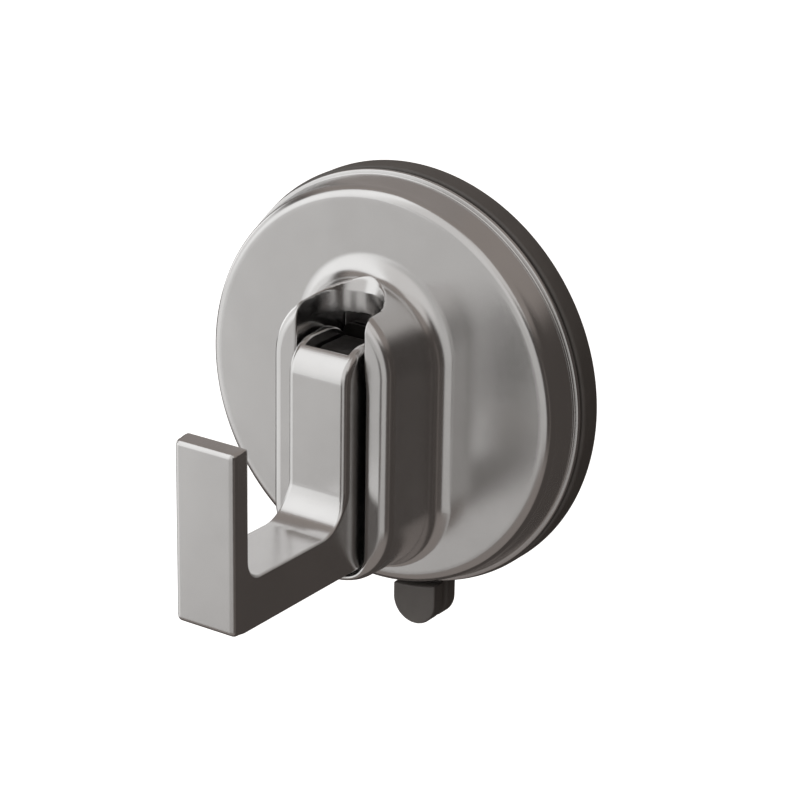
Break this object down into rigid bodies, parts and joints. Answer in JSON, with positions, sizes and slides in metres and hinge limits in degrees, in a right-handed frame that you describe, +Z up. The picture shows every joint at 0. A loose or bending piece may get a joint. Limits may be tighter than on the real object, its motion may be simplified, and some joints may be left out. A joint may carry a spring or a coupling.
{
  "type": "suction_cup_hook",
  "caption": "Lever-lock suction cup hook: round satin cover with slotted boss, black rubber cup with pull tab, square J hook that folds up to release.",
  "frame": {"origin": "the point of the wall plane on the suction axis, at the middle of the cup", "axes": "+Y into the wall, the hook's front faces -Y, +Z up, +X right seen from the front"},
  "size_m": [0.065, 0.0509, 0.0711],
  "materials": {
    "satin_nickel": "satin nickel plating with a fine even grain",
    "black_rubber": "soft black rubber, semi-matt",
    "dark_plastic": "dark moulded plastic",
    "zinc_steel": "zinc plated steel"
  },
  "bodies": {
    "housing": {"cover": "satin_nickel", "press_ring": "dark_plastic", "ring_screw_1": "zinc_steel", "ring_screw_2": "zinc_steel", "ring_screw_3": "zinc_steel", "slide_plate": "zinc_steel", "suction_cup": "black_rubber", "return_spring": "zinc_steel"},
    "stem": {"stem": "zinc_steel", "pivot_pin": "zinc_steel", "spring_washer": "zinc_steel"},
    "hook_lever": {"hook": "satin_nickel"}
  },
  "joints": [
    {"name": "stem_slide", "type": "slide", "parent": "housing", "child": "stem", "axis": [0, 1, 0], "range_m": [0, 0.0026], "deforming": ["suction_cup", "return_spring"]},
    {"name": "hook_lift", "type": "hinge", "parent": "stem", "child": "hook_lever", "pos_m": [0, -0.0182, 0.0054], "axis": [-1, 0, 0], "range_deg": [0, 90]}
  ],
  "couplings": [
    {"joint": "stem_slide", "follows": "hook_lift", "m_per_rad": 0.0015915}
  ]
}
